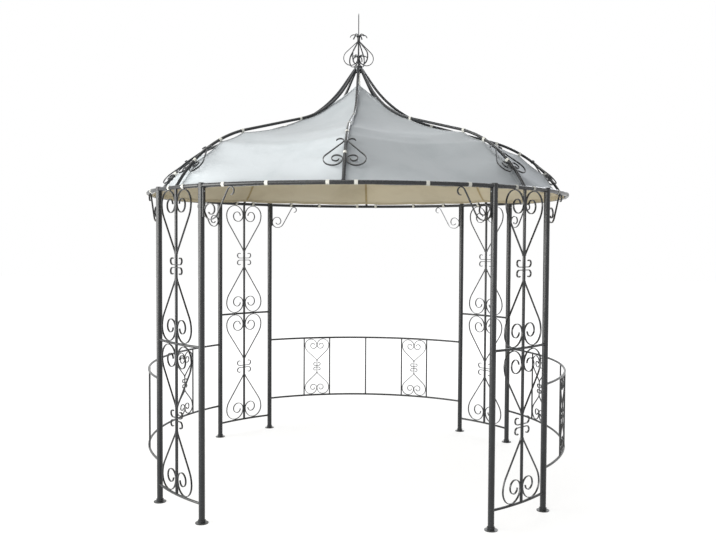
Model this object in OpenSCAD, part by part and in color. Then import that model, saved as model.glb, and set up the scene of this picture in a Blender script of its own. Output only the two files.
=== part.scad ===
// Round garden pergola: eight tubular posts in four scrollwork pillars, a ring
// beam, eight ogee ribs up to a crown hub with a finial, three railings and a
// fabric canopy hung under the ribs. The entrance faces -Y and has no railing.

/* [Plan and heights] */
// Radius of the circle that the posts, the ring beam and the railings stand on
ring_r = 1500; // [1100:10:2000]
// Height of the ring beam's centre line
ring_h = 2020; // [1700:10:2500]
// Height of the ribs' upper ends above the ring beam
roof_h = 940; // [900:10:1200]
// Distance between the two posts of a pillar, centre to centre
pillar_w = 520; // [400:5:640]

/* [Tubes and bars] */
// Outer diameter of the posts
post_d = 38; // [28:1:50]
// Outer diameter of the ring beam
ring_d = 25; // [18:1:30]
// Outer diameter of the roof ribs
rib_d = 19; // [14:1:24]
// Diameter of the upright in the middle of a pillar
middle_bar_d = 19; // [12:1:24]
// Diameter of the cross bars in a pillar
cross_bar_d = 16; // [10:1:20]
// Diameter of the railing rails
rail_d = 16; // [10:1:20]
// Diameter of the upright bars in a railing
baluster_d = 12; // [8:1:16]

/* [Feet] */
// Diameter of a foot plate
foot_d = 80; // [60:1:120]
// Thickness of a foot plate
foot_t = 4; // [3:0.5:8]
// Height of the collar on a foot plate
collar_h = 14; // [8:1:30]
// Wall of the collar on a foot plate
collar_wall = 3; // [2:0.5:5]

/* [Pillar scrollwork] */
// Height of the lower cross bar
low_bar_h = 115; // [80:5:200]
// Height of the middle cross bar as a share of the ring beam's height
mid_bar_share = 0.523; // [0.48:0.001:0.56]
// Half the width of a heart in a pillar
heart_w = 180; // [130:1:190]
// Free height between the points of two hearts
heart_gap = 150; // [130:1:200]
// Thickness of the scrolled flat bar
strip_t = 5; // [4:0.5:6]
// Depth of the scrolled flat bar in a pillar
strip_depth = 10; // [6:1:12]

/* [Railings] */
// Height of the lower rail
low_rail_h = 269; // [200:1:350]
// Height of the hand rail
top_rail_h = 801; // [700:1:1000]
// Width of a scroll panel, centre to centre of its two bars
panel_w = 241; // [190:1:300]
// Free height between the points of the two hearts of a panel
panel_gap = 106; // [90:1:130]
// Depth of the scrolled flat bar in a railing
panel_depth = 8; // [5:1:10]

/* [Brackets] */
// Height of a corner bracket's back plate
bracket_h = 186; // [170:1:230]
// Width of a corner bracket's back plate
bracket_plate_w = 20; // [12:1:25]
// Thickness of a corner bracket's back plate
bracket_plate_t = 5; // [3:0.5:6]

/* [Roof] */
// Slope of a rib where it leaves the ring beam
rib_foot_slope = 61; // [58:1:66]
// Slope of a rib between its two bends
rib_mid_slope = 15; // [12:1:18]
// Slope of a rib where it meets the hub
rib_top_slope = 55.5; // [52:0.5:60]
// Radius of the outer, lower bend of a rib
rib_low_bend = 840; // [700:10:900]
// Radius of the upper bend of a rib
rib_top_bend = 750; // [600:10:800]
// Outer diameter of the crown hub
hub_d = 64; // [56:1:80]
// Height of the crown hub
hub_h = 44; // [35:1:60]
// Wall of the crown hub
hub_wall = 5; // [3:1:8]
// Half the width of the scroll on a rib
rib_scroll_w = 122; // [100:1:140]
// Length of the scroll along a rib, from its neck to its lobes
rib_scroll_l = 215; // [180:1:240]
// Distance along a rib from the ring beam to the lobes of its scroll
rib_scroll_foot = 118; // [100:1:180]

/* [Finial] */
// Diameter of the finial's rod
finial_rod_d = 12; // [8:1:16]
// Diameter of the spike on top
spike_d = 7; // [5:1:9]
// Height of the spike's tip above the hub's rib joint
finial_h = 410; // [340:10:480]
// Half the width of the finial's scrolls
finial_w = 110; // [90:1:130]
// Length of the finial's scrolls, from their neck to their lobes
finial_l = 181; // [150:1:220]
// Number of scrolls round the finial
finial_count = 6; // [4:1:8]
// Width of the flat bar in the finial
finial_depth = 8; // [5:1:10]

/* [Canopy] */
// Thickness of the canopy, drawn thicker than cloth
canopy_t = 3; // [2:0.5:4]
// How far the canopy hangs below the ribs in the middle of their length
canopy_drop = 50; // [30:5:70]
// How far the canopy hangs below the ribs near the crown
canopy_top_drop = 95; // [80:5:110]

/* [Hidden] */
seat = 0.3;                     // gap between two pieces that bear on each other
weld = 1;                       // bite of one welded bar into another
plug = 2;                       // depth that a straight tube plugs into a bent one
plug_play = 0.1;                // how much thinner the plugged tube is
corner_steps = 15;              // degrees of bend for each flat of a scroll
round_fn = 240;                 // fineness of the long bends
$fn = 48;

crown_h = ring_h + roof_h;
mid_bar_h = ring_h * mid_bar_share;

pillar_half = asin(pillar_w / 2 / ring_r);      // plan angle from a pillar's middle to a post
opening_half = 45 - pillar_half;                // plan angle from an opening's middle to a post
post_edge = asin((post_d / 2 + seat) / ring_r); // plan angle from a post's middle to its surface

pillar_names = ["front_right", "back_right", "back_left", "front_left"];
pillar_angles = [45, 135, 225, 315];
side_names = ["front", "right", "back", "left"];
side_angles = [0, 90, 180, 270];

// ---------- paths: a pen that draws straight runs [length, 0] and bends [radius, sweep] ----------

// where the pen [x, y, heading] stands after a straight run or a share of a bend
function pen_after(pen, step, share = 1) =
    let (sweep = step[1] * share)
    step[1] == 0
        ? [pen[0] + step[0] * share * cos(pen[2]), pen[1] + step[0] * share * sin(pen[2]), pen[2]]
        : let (side = sign(step[1]) * step[0])
          [pen[0] + side * (sin(pen[2] + sweep) - sin(pen[2])),
           pen[1] - side * (cos(pen[2] + sweep) - cos(pen[2])),
           pen[2] + sweep];

function stops(step) = max(1, ceil(abs(step[1]) / corner_steps));

// every stop of the pen along a list of steps, starting at the pen itself
function trail(pen, steps, i = 0) =
    i == len(steps) ? [pen]
        : concat([for (k = [0:stops(steps[i]) - 1]) pen_after(pen, steps[i], k / stops(steps[i]))],
                 trail(pen_after(pen, steps[i]), steps, i + 1));

function beside(pen, d) = [pen[0] - d * sin(pen[2]), pen[1] + d * cos(pen[2])];

// outline of a flat bar bent on edge along a trail
function strip(pens, t) = concat(
    [for (p = pens) beside(p, t / 2)],
    [for (i = [len(pens) - 1:-1:0]) beside(pens[i], -t / 2)]);

// quarter turns that tighten: the coil at the end of a scroll
function coil(r, tighter, quarters) = [for (i = [0:quarters - 1]) [r * pow(tighter, i), 90]];

// Half a heart in the x, y plane. Its neck touches the line x = inner at y = 0 and its lobe
// reaches x = outer and y = tall; the coil follows inside the lobe.
function heart_half(inner, outer, tall, neck_r, side_r, coil_steps) =
    let (lobe = (outer - inner) / 2,
         across = outer - inner,
         up = tall - lobe,
         bends = neck_r + side_r,
         lean = asin(bends / norm([up, bends - across])) - atan2(bends - across, up),
         run = (up - bends * sin(lean)) / cos(lean))
    trail([inner, 0, 90],
          concat([[neck_r, -lean], [run, 0], [side_r, lean], [lobe, 180]], coil_steps));

// the small outward curl below a heart's neck
function flare(inner, r, sweep, run = 0) = trail([inner, 0, 270], [[run, 0], [r, sweep]]);

// a flat bar standing on edge: the outline's y becomes height
module flat_bar(pens, t, depth) {
    rotate([90, 0, 0]) translate([0, 0, -depth / 2]) linear_extrude(depth) polygon(strip(pens, t));
}

module both_sides() {
    children();
    mirror([1, 0, 0]) children();
}

// stands its children at a plan angle on the ring circle, x along the ring and y to the middle
module at_ring(angle) rotate([0, 0, angle]) translate([0, -ring_r, 0]) children();

// a round tube bent along the ring circle between two plan angles
module ring_tube(d, height, from, to)
    rotate([0, 0, from - 90]) translate([0, 0, height])
        rotate_extrude(angle = to - from, $fn = round_fn) translate([ring_r, 0]) circle(d = d, $fn = 48);

// ---------- posts ----------

// a capped post that ends a little above the ring beam
module post(i) {
    angle = pillar_angles[floor(i / 2)] + (i % 2 == 0 ? -pillar_half : pillar_half);
    color("#454a4c") at_ring(angle) {
        cylinder(d = foot_d, h = foot_t);
        cylinder(d = post_d + 2 * collar_wall, h = foot_t + collar_h);
        cylinder(d = post_d, h = ring_h + ring_d / 2 + 1);
    }
}

// ---------- pillar grilles ----------

// one storey of scrollwork right of the upright: two hearts and half a rosette
module grille_half(low, high) {
    inner = middle_bar_d / 2 + strip_t / 2 - weld;
    middle = (low + high) / 2;
    tall = (high - low - heart_gap) / 2;
    heart = heart_half(inner, heart_w, tall, 30, 140, coil(54, 0.84, 4));
    for (up = [0, 1])
        translate([0, 0, middle]) mirror([0, 0, up]) {
            translate([0, 0, heart_gap / 2]) flat_bar(heart, strip_t, strip_depth);
            flat_bar(trail([inner - strip_t, 9, 0], [[40, 0], [23, 90], [19, 90], [14, 50]]), strip_t, strip_depth);
        }
}

module pillar_grille(i) {
    angle = pillar_angles[i];
    reach = pillar_half - post_edge;
    under_ring = ring_h - ring_d / 2 - seat - strip_t / 2;
    color("#454a4c") {
        ring_tube(ring_d, ring_h, angle - reach, angle + reach);
        for (h = [low_bar_h, mid_bar_h]) ring_tube(cross_bar_d, h, angle - reach, angle + reach);
        at_ring(angle) {
            translate([0, 0, low_bar_h]) cylinder(d = middle_bar_d, h = ring_h - low_bar_h);
            both_sides() {
                grille_half(low_bar_h + cross_bar_d / 2 + seat + strip_t / 2,
                            mid_bar_h - cross_bar_d / 2 - seat - strip_t / 2);
                grille_half(mid_bar_h + cross_bar_d / 2 + seat + strip_t / 2, under_ring);
            }
        }
    }
}

// ---------- ring beam over the openings ----------

module ring_arc(i) {
    reach = opening_half - post_edge;
    color("#454a4c") ring_tube(ring_d, ring_h, side_angles[i] - reach, side_angles[i] + reach);
}

// ---------- corner brackets ----------

// a back plate on the post and a scroll that climbs from it to the ring beam
module bracket() {
    plate_x = post_d / 2 + seat;
    coil_x = plate_x + bracket_plate_t + strip_t / 2 - weld;
    coil_y = -bracket_h + 32;
    top_y = -ring_d / 2 - seat - strip_t / 2;
    low_bends = [[48, 90], [66, 60]];
    hook = [[30, -60], [23, -180]];
    after_bends = pen_after(pen_after([coil_x, coil_y, 270], low_bends[0]), low_bends[1]);
    run = (top_y - after_bends[1] - hook[0][0] * (1 - cos(60))) / sin(60);
    translate([plate_x, -bracket_plate_w / 2, -bracket_h])
        cube([bracket_plate_t, bracket_plate_w, bracket_h - ring_d / 2 - seat]);
    flat_bar(trail([coil_x, coil_y, 270], concat(low_bends, [[run, 0]], hook)), strip_t, strip_depth);
    flat_bar(trail([coil_x, coil_y, 90], [[46, -90], [36, -90], [28, -90], [21, -70]]), strip_t, strip_depth);
}

module brackets(i) {
    color("#454a4c") rotate([0, 0, side_angles[i]]) both_sides()
        at_ring(-opening_half) translate([0, 0, ring_h]) rotate([0, 0, 4]) bracket();
}

// ---------- railings ----------

// two hearts point to point with a rosette between them, all welded to a short middle strip
module scroll_panel() {
    wide = panel_w / 2 - baluster_d / 2 - seat - strip_t / 2;
    low = low_rail_h + rail_d / 2 + seat + strip_t / 2;
    high = top_rail_h - rail_d / 2 - seat - strip_t / 2;
    tall = (high - low - panel_gap) / 2;
    heart = heart_half(strip_t / 2 - weld, wide, tall, 20, 80, coil(32, 0.82, 4));
    translate([0, 0, (low + high) / 2]) {
        cube([strip_t, panel_depth, panel_gap], center = true);
        both_sides() for (up = [0, 1]) mirror([0, 0, up]) {
            translate([0, 0, panel_gap / 2 - weld]) flat_bar(heart, strip_t, panel_depth);
            flat_bar(trail([0, 8, 0], [[16, 0], [15, 90], [12, 140]]), strip_t, panel_depth);
        }
    }
}

module railing(i) {
    reach = opening_half - post_edge;
    panel_half = asin(panel_w / 2 / ring_r);
    // the four plain bays are alike, and each panel stands between two of them
    bay = (2 * opening_half - 4 * panel_half) / 4;
    panel_at = bay + panel_half;
    color("#454a4c") rotate([0, 0, side_angles[i]]) {
        for (h = [low_rail_h, top_rail_h]) ring_tube(rail_d, h, -reach, reach);
        for (a = [-panel_at - panel_half, -bay, 0, bay, panel_at + panel_half])
            at_ring(a) translate([0, 0, low_rail_h]) cylinder(d = baluster_d, h = top_rail_h - low_rail_h);
        for (side = [-1, 1])
            rotate([0, 0, side * panel_at]) translate([0, -ring_r * cos(panel_half), 0]) scroll_panel();
    }
}

// ---------- ribs and their scrolls ----------

// A rib in its own upright plane: x runs in from the ring beam and y up. Two straight runs
// are as long as the bends leave room for.
rib_turn_low = rib_foot_slope - rib_mid_slope;
rib_turn_top = rib_top_slope - rib_mid_slope;
rib_low_end = pen_after([0, 0, rib_foot_slope], [rib_low_bend, -rib_turn_low]);
rib_top_step = pen_after([0, 0, rib_mid_slope], [rib_top_bend, rib_turn_top]);
rib_across = ring_r - hub_d / 2 + hub_wall - rib_low_end[0] - rib_top_step[0];
rib_up = crown_h - ring_h - rib_low_end[1] - rib_top_step[1];
rib_top_run = (rib_up * cos(rib_mid_slope) - rib_across * sin(rib_mid_slope)) / sin(rib_turn_top);
rib_mid_run = (rib_across - rib_top_run * cos(rib_top_slope)) / cos(rib_mid_slope);
rib_steps = [
    [rib_low_bend, -rib_turn_low], [rib_mid_run, 0], [rib_top_bend, rib_turn_top], [rib_top_run, 0]];

// A round tube along the pen's steps. Each bend is a piece of a torus, and each straight run
// is a hair thinner and plugs into the bends at its ends.
module tube_along(pen, steps, d, i = 0) {
    if (i < len(steps)) {
        radius = steps[i][0];
        sweep = steps[i][1];
        translate([pen[0], pen[1], 0]) rotate([0, 0, pen[2]]) {
            if (sweep == 0) translate([-plug, 0, 0]) rotate([0, 90, 0])
                cylinder(d = d - plug_play, h = radius + 2 * plug);
            else translate([0, sign(sweep) * radius, 0]) rotate([0, 0, sweep > 0 ? -90 : 90 + sweep])
                rotate_extrude(angle = abs(sweep), $fn = round_fn) translate([radius, 0]) circle(d = d, $fn = 48);
        }
        tube_along(pen_after(pen, steps[i]), steps, d, i + 1);
    }
}

// lays a drawing in x, y into the upright plane of the rib at a plan angle
module in_rib_plane(angle) at_ring(angle) translate([0, 0, ring_h]) rotate([90, 0, 90]) children();

module rib(i) {
    angle = i * 45;
    color("#50585b") difference() {
        in_rib_plane(angle) tube_along([0, 0, rib_foot_slope], rib_steps, rib_d);
        ring_tube(ring_d + 2 * seat, ring_h, angle - 2, angle + 2);
        translate([0, 0, crown_h - hub_h]) cylinder(d = hub_d + 2 * seat, h = 2 * hub_h);
    }
}

// the scroll lies along the rib's lower bend, on the chord from its lobes to its neck
module rib_scroll(i) {
    inner = rib_d / 2 + seat + strip_t / 2;
    deg = 180 / PI / rib_low_bend;
    foot = pen_after([0, 0, rib_foot_slope], [rib_low_bend, -rib_scroll_foot * deg]);
    chord_turn = rib_scroll_l * deg / 2;
    half = heart_half(inner, rib_scroll_w, rib_scroll_l, 12, 55, coil(34, 0.82, 4));
    color("#3a4042") in_rib_plane(i * 45)
        translate([foot[0], foot[1], 0]) rotate([0, 0, foot[2] - chord_turn])
            rotate([0, 90, 0]) translate([0, 0, rib_scroll_l]) mirror([0, 0, 1]) both_sides() {
                flat_bar(half, strip_t, panel_depth);
                flat_bar(flare(inner, 22, 165), strip_t, panel_depth);
            }
}

// ---------- crown ----------

// a short open cup that takes the eight ribs, closed by a plate that carries the finial
module crown_hub() {
    color("#454a4c") translate([0, 0, crown_h]) difference() {
        translate([0, 0, -hub_h / 2]) cylinder(d = hub_d, h = hub_h);
        translate([0, 0, -hub_h / 2 - 1]) cylinder(d = hub_d - 2 * hub_wall, h = hub_h + 1 - hub_wall);
    }
}

module finial() {
    base = crown_h + hub_h / 2 + seat;
    tip = crown_h + finial_h;
    neck = base + 6 + finial_l;
    inner = finial_rod_d / 2 + strip_t / 2 - weld;
    half = heart_half(inner, finial_w, finial_l, 15, 60, [[18, 90], [20, 0], [20, 90], [8, 0]]);
    curl_foot = 14;
    curl_r = 28;
    curl_top = neck + curl_foot + curl_r;
    color("#3a4042") {
        translate([0, 0, base]) cylinder(d = 2 * finial_rod_d, h = 5);
        translate([0, 0, base]) cylinder(d = finial_rod_d, h = curl_top - base);
        translate([0, 0, curl_top - 10]) cylinder(d = spike_d, h = tip - curl_top - 5);
        translate([0, 0, tip - 15]) cylinder(d1 = spike_d, d2 = 1.5, h = 15);
        for (k = [0:finial_count - 1]) rotate([0, 0, k * 360 / finial_count + 10])
            translate([0, 0, neck]) mirror([0, 0, 1]) {
                flat_bar(half, strip_t, finial_depth);
                flat_bar(flare(inner, curl_r, 165, curl_foot), strip_t, finial_depth);
            }
    }
}

// ---------- canopy ----------

canopy_stops = 18;               // stations from the rim to the crown
canopy_post = (22.5 - pillar_half) / 22.5;
canopy_columns = [-1, -canopy_post, 0, canopy_post, 1];     // shares of half a gore; two meet the posts
rim_drop = (post_d / 2 + seat) / sin(rib_foot_slope);   // the rim bears on the posts, inside the ring beam
rib_length = rib_low_bend * rib_turn_low * PI / 180 + rib_mid_run
    + rib_top_bend * rib_turn_top * PI / 180 + rib_top_run;

// the rib's pen at a distance along it
function rib_pen(s, pen, i = 0) =
    let (step = rib_steps[i],
         size = step[1] == 0 ? step[0] : step[0] * abs(step[1]) * PI / 180)
    s <= size || i == len(rib_steps) - 1
        ? pen_after(pen, step, s / size)
        : rib_pen(s - size, pen_after(pen, step), i + 1);

function drop_at(u) =
    rim_drop + (canopy_drop - rim_drop) * (1 - exp(-u * 12)) + (canopy_top_drop - canopy_drop) * pow(u, 3);

// [radius, height] of the cloth under a rib, at a share u of the rib's length, and lower by t
function cloth_point(u, t) =
    let (pen = rib_pen(u * rib_length, [0, 0, rib_foot_slope]),
         p = beside(pen, -drop_at(u) - t))
    [ring_r - p[0], ring_h + p[1]];

// between two ribs the cloth is drawn straight, except at the rim, which keeps the ring's curve
function cloth_radius(r, u, a) =
    let (flat = 1 - exp(-u * 10))
    r * (1 - flat + flat * cos(22.5) / cos(a));

canopy_reach = 0.955;            // share of the rib's length at which the cloth closes over the middle

function gore_point(i, j, t) =
    let (u = canopy_reach * i / canopy_stops,
         p = cloth_point(u, t),
         edge = 22.5 - asin(seat / 2 / max(p[0], 4)),
         a = edge * canopy_columns[j],
         r = cloth_radius(max(p[0], 4), u, a))
    [r * sin(a), -r * cos(a), p[1]];

module gore() {
    rows = canopy_stops + 1;
    cols = len(canopy_columns);
    points = [for (t = [0, canopy_t]) for (i = [0:rows - 1]) for (j = [0:cols - 1]) gore_point(i, j, t)];
    under = rows * cols;
    faces = concat(
        [for (i = [0:rows - 2]) for (j = [0:cols - 2]) let (k = i * cols + j) each
            [[k, k + cols, k + 1], [k + 1, k + cols, k + cols + 1],
             [under + k, under + k + 1, under + k + cols], [under + k + 1, under + k + cols + 1, under + k + cols]]],
        [for (j = [0:cols - 2]) for (k = [j]) each [[k, k + 1, under + k], [k + 1, under + k + 1, under + k]]],
        [for (j = [0:cols - 2]) let (k = (rows - 1) * cols + j) each
            [[k, under + k, k + 1], [k + 1, under + k, under + k + 1]]],
        [for (i = [0:rows - 2]) let (k = i * cols) each
            [[k, under + k, k + cols], [k + cols, under + k, under + k + cols]]],
        [for (i = [0:rows - 2]) let (k = i * cols + cols - 1) each
            [[k, k + cols, under + k], [k + cols, under + k + cols, under + k]]]);
    polyhedron(points, faces);
}

module canopy() {
    color("#e9e7df") for (k = [0:7]) rotate([0, 0, 22.5 + 45 * k]) gore();
}

for (i = [0:7]) post(i);
for (i = [0:3]) pillar_grille(i);
for (i = [0:3]) ring_arc(i);
for (i = [0:3]) brackets(i);
for (i = [1:3]) railing(i);
for (i = [0:7]) rib(i);
for (i = [0:7]) rib_scroll(i);
crown_hub();
finial();
canopy();
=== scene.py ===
# Round garden pergola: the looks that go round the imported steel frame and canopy
from math import cos, exp, pi, radians, sin

import bpy
import numpy as np
from mathutils import Matrix, Vector
from mathutils.kdtree import KDTree


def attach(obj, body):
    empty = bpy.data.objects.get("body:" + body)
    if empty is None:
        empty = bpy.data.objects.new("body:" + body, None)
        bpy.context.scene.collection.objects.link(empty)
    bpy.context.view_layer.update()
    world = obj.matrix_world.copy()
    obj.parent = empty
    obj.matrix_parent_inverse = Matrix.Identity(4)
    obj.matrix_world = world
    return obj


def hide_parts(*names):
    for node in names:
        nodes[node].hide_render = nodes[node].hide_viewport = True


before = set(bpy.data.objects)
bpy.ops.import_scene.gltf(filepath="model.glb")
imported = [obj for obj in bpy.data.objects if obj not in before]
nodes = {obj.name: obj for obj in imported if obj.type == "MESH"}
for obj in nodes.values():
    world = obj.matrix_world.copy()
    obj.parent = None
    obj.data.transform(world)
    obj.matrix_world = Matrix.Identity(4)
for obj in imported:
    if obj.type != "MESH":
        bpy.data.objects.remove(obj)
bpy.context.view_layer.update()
print("frame loaded:", len(nodes), "nodes")


# sRGB hex to the linear colour that sockets take
def linear(hexColour):
    values = [int(hexColour[i:i + 2], 16) / 255 for i in (1, 3, 5)]
    return [v / 12.92 if v <= 0.04045 else ((v + 0.055) / 1.055) ** 2.4 for v in values] + [1]


# gives a node's sockets plain values and links
def fillSockets(tree, node, values, links):
    for socket, value in (values or {}).items():
        node.inputs[socket].default_value = value
    for socket, source in (links or {}).items():
        tree.links.new(source, node.inputs[socket])


# adds a node with its settings, its plain socket values and its links
def addNode(tree, kind, values=None, links=None, stops=None, **settings):
    node = tree.nodes.new(kind)
    for name, value in settings.items():
        setattr(node, name, value)
    fillSockets(tree, node, values, links)
    if stops:
        ramp = node.color_ramp
        while len(ramp.elements) < len(stops):
            ramp.elements.new(0.5)
        for element, (place, colour) in zip(ramp.elements, stops):
            element.position = place
            element.color = linear(colour)
    return node


def startMaterial(name):
    material = bpy.data.materials.new(name)
    material.use_nodes = True
    return material, material.node_tree, material.node_tree.nodes["Principled BSDF"]


def selectOnly(*objects):
    bpy.ops.object.select_all(action="DESELECT")
    for item in objects:
        item.select_set(True)
    bpy.context.view_layer.objects.active = objects[0]


# opens a piece in edit mode with everything selected
def editAll(piece):
    selectOnly(piece)
    bpy.ops.object.mode_set(mode="EDIT")
    bpy.ops.mesh.select_all(action="SELECT")


# opens a piece in edit mode with only the faces that a test on their normal picks
def editFaces(piece, isPicked):
    editAll(piece)
    bpy.ops.mesh.select_all(action="DESELECT")
    closeEdit()
    for face in piece.data.polygons:
        face.select = isPicked(face.normal)
    bpy.ops.object.mode_set(mode="EDIT")


def closeEdit():
    bpy.ops.object.mode_set(mode="OBJECT")


# merges the points that lie on each other
def mergePoints(piece, gap=0.00001):
    editAll(piece)
    bpy.ops.mesh.remove_doubles(threshold=gap)
    closeEdit()


def subdividePiece(piece, cuts):
    editAll(piece)
    bpy.ops.mesh.subdivide(number_cuts=cuts)
    closeEdit()


def addWall(piece, thickness, offset=0):
    wall = piece.modifiers.new("wall", "SOLIDIFY")
    wall.thickness, wall.offset = thickness, offset
    return wall


def softenEdges(piece, width, segments):
    soften = piece.modifiers.new("soften", "BEVEL")
    soften.width, soften.segments, soften.limit_method = width, segments, "ANGLE"


def applyModifiers(piece):
    selectOnly(piece)
    for name in [modifier.name for modifier in piece.modifiers]:
        bpy.ops.object.modifier_apply(modifier=name)


def shadeByAngle(degreesWide):
    bpy.ops.object.shade_smooth_by_angle(angle=radians(degreesWide))


# gives a finished piece its name and finish, and hangs it on the frame
def keepPiece(piece, name, materials, replaced=()):
    piece.name = piece.data.name = name
    sides = [face.material_index for face in piece.data.polygons]
    piece.data.materials.clear()
    for material in materials:
        piece.data.materials.append(material)
    if len(materials) > 1:
        piece.data.polygons.foreach_set("material_index", sides)
    selectOnly(piece)
    bpy.ops.object.transform_apply()
    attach(piece, "root")
    if replaced:
        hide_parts(*replaced)


def joinPieces(pieces):
    selectOnly(*pieces)
    bpy.ops.object.join()
    return bpy.context.view_layer.objects.active


# a copy with its own mesh, put in place by a matrix
def copyPiece(source, place):
    twin = bpy.data.objects.new(source.name, source.data.copy())
    bpy.context.scene.collection.objects.link(twin)
    twin.data.transform(place)
    return twin


def takeAway(piece):
    bpy.data.objects.remove(piece)


# goes from 0 to 1 with level ends
def ease(share):
    return share * share * (3 - 2 * share)


coat = {
    "base": "#15171a",  # anthracite, nearly black
    "light": "#212427",  # where the coat lies thinner and catches more light
    "patch": 0.11,  # m, size of a patch of tone
    "patchEdges": (0.36, 0.7),
    "dustAndSkyLight": "#6f706e",  # on faces that look up: dust, and painted light from the sky that makes their tops paler
    "dustAndSkyLightFrom": 0.55,  # the upward part of a face's normal at which the dust and painted sky light start
    "dustAndSkyLightMost": 0.55,  # its share on a level face
    "specks": 70,  # specks of dust and of the painted sky light to the metre
    "peel": 0.003,  # m, one dimple; the real ones are 1 to 2 mm and would not show
    "peelDepth": 0.0004, "peelStrength": 0.08,
    "roughness": (0.21, 0.35),
    "ior": 1.5,
}


def makePowderCoat():
    # polyester powder baked on welded steel tube: even anthracite with a soft gloss and a fine orange peel
    material, tree, shader = startMaterial("powderCoatedSteel")
    place = addNode(tree, "ShaderNodeTexCoord").outputs["Object"]
    patches = addNode(tree, "ShaderNodeTexNoise",
                      {"Scale": 1 / coat["patch"], "Detail": 5, "Roughness": 0.62}, {"Vector": place})
    thick, thin = coat["patchEdges"]
    tone = addNode(tree, "ShaderNodeValToRGB", links={"Fac": patches.outputs["Fac"]},
                   stops=[(thick, coat["base"]), (thin, coat["light"])])
    # painted light: faces that look up are mixed towards a pale grey, for their dust and for light from the
    # sky
    upwards = addNode(tree, "ShaderNodeSeparateXYZ",
                      links={"Vector": addNode(tree, "ShaderNodeNewGeometry").outputs["Normal"]})
    specks = addNode(tree, "ShaderNodeTexNoise",
                     {"Scale": coat["specks"], "Detail": 6, "Roughness": 0.7}, {"Vector": place})
    upFacingDustAndSkyLight = addNode(tree, "ShaderNodeMapRange",
                    {"From Min": coat["dustAndSkyLightFrom"], "From Max": 1.0,
                     "To Min": 0.0, "To Max": coat["dustAndSkyLightMost"]}, {"Value": upwards.outputs["Z"]})
    dustAndSkyLightAmount = addNode(tree, "ShaderNodeMath", links={0: upFacingDustAndSkyLight.outputs[0], 1: specks.outputs["Fac"]},
                         operation="MULTIPLY")
    colour = addNode(tree, "ShaderNodeMix", {7: linear(coat["dustAndSkyLight"])},
                     {0: dustAndSkyLightAmount.outputs[0], 6: tone.outputs["Color"]}, data_type="RGBA")
    glossy, dull = coat["roughness"]
    gloss = addNode(tree, "ShaderNodeMapRange", {"To Min": glossy, "To Max": dull},
                    {"Value": specks.outputs["Fac"]})
    peel = addNode(tree, "ShaderNodeTexNoise", {"Scale": 1 / coat["peel"], "Detail": 1}, {"Vector": place})
    bump = addNode(tree, "ShaderNodeBump", {"Strength": coat["peelStrength"], "Distance": coat["peelDepth"]},
                   {"Height": peel.outputs["Fac"]})
    fillSockets(tree, shader, {"IOR": coat["ior"]},
                {"Base Color": colour.outputs[2], "Roughness": gloss.outputs[0], "Normal": bump.outputs[0]})
    return material


# a wave texture of scale 1 repeats after this many metres along an axis, and square to its diagonal
axisWave, diagonalWave = pi / 10, pi / 5 / 3 ** 0.5

cloth = {
    # painted shade: the cloth is off-white, and its outside and its marks are greyed to the blue-grey it
    # shows in shade
    "outside": "#bbc1c6",
    "outsideDirt": "#b3babf",  # faint water marks
    # painted light: the inside, hem and seam tones are the warm cream of light coming through the cloth from
    # outside
    "inside": "#d6ccb4",
    "insideShade": "#ccc1a8",
    "hem": "#c4b89b",  # painted light: doubled cloth lets less light through
    "hemShade": "#b6a98b",
    "seam": "#b3a078",  # painted light: four layers, the darkest where light comes through
    "seamShade": "#a4916a",
    "marks": 3.2,  # marks to the metre
    "markEdges": (0.33, 0.52),
    "thread": 0.0024,  # m, drawn coarse; the real threads are 0.5 mm apart
    "threadDepth": 0.0003, "threadStrength": 0.35,
    "crease": 0.09,  # m, the soft creases left by folding
    "creaseDepth": 0.006, "creaseStrength": 0.22,
    "roughness": 0.82, "specular": 0.3, "sheenRoughness": 0.5,
}


def makeCloth(name, plain, marked, sheen):
    # woven polyester with a thin coating: matt, close weave, soft creases from the packing
    material, tree, shader = startMaterial(name)
    flat = addNode(tree, "ShaderNodeTexCoord")
    place, across = flat.outputs["Object"], flat.outputs["UV"]
    marks = addNode(tree, "ShaderNodeTexNoise",
                    {"Scale": cloth["marks"], "Detail": 7, "Roughness": 0.62, "Distortion": 0.4},
                    {"Vector": place})
    dirty, clean = cloth["markEdges"]
    colour = addNode(tree, "ShaderNodeValToRGB", links={"Fac": marks.outputs["Fac"]},
                     stops=[(dirty, marked), (clean, plain)])
    warp, weft = [addNode(tree, "ShaderNodeTexWave",
                          {"Scale": axisWave / cloth["thread"], "Distortion": 0.6, "Detail": 1},
                          {"Vector": across}, bands_direction=way).outputs["Fac"] for way in ("X", "Y")]
    threads = addNode(tree, "ShaderNodeMath", links={0: warp, 1: weft}, operation="MAXIMUM")
    fine = addNode(tree, "ShaderNodeBump",
                   {"Strength": cloth["threadStrength"], "Distance": cloth["threadDepth"]},
                   {"Height": threads.outputs[0]})
    folds = addNode(tree, "ShaderNodeTexNoise",
                    {"Scale": 1 / cloth["crease"], "Detail": 3, "Roughness": 0.45, "Distortion": 1.2},
                    {"Vector": place})
    soft = addNode(tree, "ShaderNodeBump",
                   {"Strength": cloth["creaseStrength"], "Distance": cloth["creaseDepth"]},
                   {"Height": folds.outputs["Fac"], "Normal": fine.outputs[0]})
    fillSockets(tree, shader,
                {"Roughness": cloth["roughness"], "Specular IOR Level": cloth["specular"],
                 "Sheen Weight": sheen, "Sheen Roughness": cloth["sheenRoughness"]},
                {"Base Color": colour.outputs["Color"], "Normal": soft.outputs[0]})
    return material


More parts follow.
